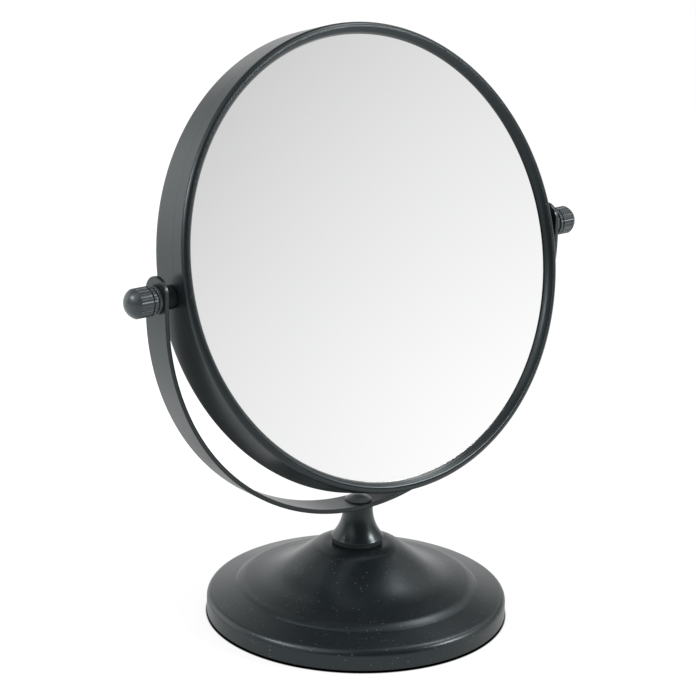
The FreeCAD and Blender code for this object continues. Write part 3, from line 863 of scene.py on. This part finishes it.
knurlTree = buildKnurlTree()
for side in sides:
    buildPivot(side)
    buildKnob(side, knob, knurlTree)
print("pivots and knobs done")


# Stage

def towards(azimuth, elevation):
    # azimuth counts from the front to the right
    a, e = math.radians(azimuth), math.radians(elevation)
    return Vector((math.sin(a) * math.cos(e), -math.cos(a) * math.cos(e), math.sin(e)))


def addLobes(tree, way, level, lobes, darkest=0.03):
    # an even level with soft brighter and dimmer areas
    for azimuth, elevation, inner, outer, amount in lobes.values():
        facing = addNode(tree, "ShaderNodeVectorMath", operation="DOT_PRODUCT")
        link(tree, way, facing.inputs[0])
        facing.inputs[1].default_value = towards(azimuth, elevation)
        edge, core = math.cos(math.radians(outer)), math.cos(math.radians(inner))
        share = mapped(tree, facing.outputs["Value"], 0, amount, edge, core, "SMOOTHSTEP")
        level = worked(tree, "ADD", level, share)
    return worked(tree, "MAXIMUM", level, darkest)


def seenRays(tree, *kinds):
    # 1 for the kinds of ray that are named
    rays = addNode(tree, "ShaderNodeLightPath")
    share = rays.outputs[kinds[0]]
    for kind in kinds[1:]:
        share = worked(tree, "MAXIMUM", share, rays.outputs[kind])
    return share


floorSize = {
    "half": 4.0,
    "white": (0.9, 0.9, 0.9),
    "glow": 0.86,  # share of plain white; the rest takes the light and the shadow
    "paintedContactShadow": (0.0675, 0.0684),  # painted contact shadow: the floor's colour and glow go dark where the base meets it
    "near": (0.12, 0.20),  # painted shade: the glow that gloss sees fades closer in
    "nearTone": 0.74,  # painted shade: the dimmer glow that gloss sees near the base
    # painted light and shade in the glow that gloss sees: brighter towards the back left, dimmer on the camera's
    # side
    "lobes": {
        # azimuth, elevation, full within, none beyond, amount
        "backLeft": (-140, 0, 0, 90, 0.45),
        "cameraSide": (-52, 0, 0, 78, -0.49),
    },
}


def buildFloor(size):
    half = size["half"]
    mesh = bpy.data.meshes.new("floor")
    corners = [(-half, -half, 0), (half, -half, 0), (half, half, 0), (-half, half, 0)]
    mesh.from_pydata(corners, [], [(0, 1, 2, 3)])
    floor = bpy.data.objects.new("floor", mesh)
    bpy.context.scene.collection.objects.link(floor)
    finish = bpy.data.materials.new("paleFloor")
    finish.use_nodes = True
    tree = finish.node_tree
    tree.nodes.clear()
    out = addNode(tree, "ShaderNodeOutputMaterial")
    matt = addNode(tree, "ShaderNodeBsdfDiffuse")
    glow = addNode(tree, "ShaderNodeEmission")
    spot = addNode(tree, "ShaderNodeTexCoord")
    way = addNode(tree, "ShaderNodeVectorMath", operation="NORMALIZE")
    link(tree, spot.outputs["Object"], way.inputs[0])
    reach = addNode(tree, "ShaderNodeVectorMath", operation="LENGTH")
    link(tree, spot.outputs["Object"], reach.inputs[0])
    # painted contact shadow: the floor's colour and glow fall to black close round the base
    clear = mapped(tree, reach.outputs["Value"], 0, 1, *size["paintedContactShadow"], "SMOOTHSTEP")
    link(tree, mixed(tree, clear, (0, 0, 0), size["white"]), matt.inputs["Color"])
    # painted light and shade in the floor's glow for gloss: lobes by direction, and a dimmer tone near the base
    lobed = worked(tree, "SUBTRACT", addLobes(tree, way.outputs["Vector"], 1.0, size["lobes"]), 1.0)
    pastPaintedShade = mapped(tree, reach.outputs["Value"], 0, 1, *size["near"])
    tone = worked(tree, "ADD", worked(tree, "MULTIPLY", lobed, pastPaintedShade), mapped(tree, pastPaintedShade, size["nearTone"], 1))
    tone = worked(tree, "MAXIMUM", tone, seenRays(tree, "Is Camera Ray"))
    link(tree, worked(tree, "MULTIPLY", tone, clear), glow.inputs["Strength"])
    seen = seenRays(tree, "Is Camera Ray", "Is Glossy Ray", "Is Transmission Ray")
    blend = addNode(tree, "ShaderNodeMixShader")
    link(tree, worked(tree, "MULTIPLY", seen, size["glow"]), blend.inputs[0])
    link(tree, matt.outputs["BSDF"], blend.inputs[1])
    link(tree, glow.outputs["Emission"], blend.inputs[2])
    link(tree, blend.outputs["Shader"], out.inputs["Surface"])
    mesh.materials.append(finish)


buildFloor(floorSize)

tent = {
    "matt": 1.0,  # even light on matt surfaces
    "level": 0.295,  # what gloss sees between the lobes
    "mirrored": 0.6,  # least that a clear mirror sees
    "lobes": {
        # azimuth, elevation, full within, none beyond, amount
        "cameraSide": (-11.6, 17.2, 21.0, 64.7, -0.804),
        "backLeft": (-154.5, 10.0, 0.3, 33.4, 1.5),
        "backRight": (142.8, 21.7, 6.4, 42.6, 0.82),
        "facedByMirror": (32.1, -4.2, 3.3, 31.8, 1.124),
        "highLeft": (-87.0, 44.0, 3.5, 39.1, 1.35),
        "highRight": (65.3, 46.7, 7.9, 44.3, 0.62),
        "highBackRight": (134.5, 41.2, 5.0, 26.0, -1.26),
    },
}


def buildWorld(size):
    # white studio tent with brighter and dimmer sides; the camera sees plain white
    world = bpy.data.worlds.new("tent")
    bpy.context.scene.world = world
    world.use_nodes = True
    tree = world.node_tree
    tree.nodes.clear()
    out = addNode(tree, "ShaderNodeOutputWorld")
    way = addNode(tree, "ShaderNodeTexCoord")
    shown = addLobes(tree, way.outputs["Generated"], size["level"], size["lobes"])
    shown = worked(tree, "MAXIMUM", shown, seenRays(tree, "Is Camera Ray"))
    least = worked(tree, "MULTIPLY", seenRays(tree, "Is Singular Ray"), size["mirrored"])
    shown = worked(tree, "MAXIMUM", shown, least)
    seen = seenRays(tree, "Is Camera Ray", "Is Glossy Ray", "Is Transmission Ray")
    even = addNode(tree, "ShaderNodeBackground")
    even.inputs["Strength"].default_value = size["matt"]
    around = addNode(tree, "ShaderNodeBackground")
    link(tree, shown, around.inputs["Strength"])
    blend = addNode(tree, "ShaderNodeMixShader")
    link(tree, seen, blend.inputs[0])
    link(tree, even.outputs["Background"], blend.inputs[1])
    link(tree, around.outputs["Background"], blend.inputs[2])
    for node in (even, around):
        node.inputs["Color"].default_value = (1, 1, 1, 1)
    link(tree, blend.outputs["Shader"], out.inputs["Surface"])


buildWorld(tent)

lamps = {
    # azimuth, elevation, width and height in metres, watts
    "keyLamp": (41, 29, 0.3, 0.11, 8.0),
    "rightLamp": (84, 55, 0.6, 0.3, 3.2),
    "leftLamp": (-105, 36, 0.5, 0.3, 5.0),
}
lampDistance = 1.3
lampAim = (0, 0, 0.12)


def buildLamps():
    aim = Vector(lampAim)
    for name, (azimuth, elevation, width, height, watts) in lamps.items():
        light = bpy.data.lights.new(name, "AREA")
        light.shape = "RECTANGLE"
        light.size = width
        light.size_y = height
        light.energy = watts
        way = towards(azimuth, elevation)
        lamp = bpy.data.objects.new(name, light)
        lamp.location = aim + way * lampDistance
        lamp.rotation_euler = way.to_track_quat("Z", "Y").to_euler()
        bpy.context.scene.collection.objects.link(lamp)


buildLamps()

view = {
    "azimuth": -38.94,
    "elevation": 17.736,
    "roll": 1.223,
    "distance": 1.06764,
    "aside": -0.00599,  # aim, to the right of the axis
    "height": 0.12431,  # aim, above the table
    "lens": 125.89,
}


def buildCamera(size):
    turn, roll = math.radians(size["azimuth"]), math.radians(size["roll"])
    back = towards(size["azimuth"], size["elevation"])
    right = Vector((math.cos(turn), math.sin(turn), 0))
    up = back.cross(right)
    acrossAxis = right * math.cos(roll) + up * math.sin(roll)
    upAxis = up * math.cos(roll) - right * math.sin(roll)
    spot = right * size["aside"] + Vector((0, 0, size["height"])) + back * size["distance"]
    data = bpy.data.cameras.new("photoView")
    data.lens = size["lens"]
    data.sensor_width = 36.0
    camera = bpy.data.objects.new("photoView", data)
    axes = Matrix((acrossAxis, upAxis, back)).transposed().to_4x4()
    camera.matrix_world = Matrix.Translation(spot) @ axes
    bpy.context.scene.collection.objects.link(camera)
    bpy.context.scene.camera = camera


buildCamera(view)
bpy.context.scene.view_settings.view_transform = "Standard"
print("stage ready")
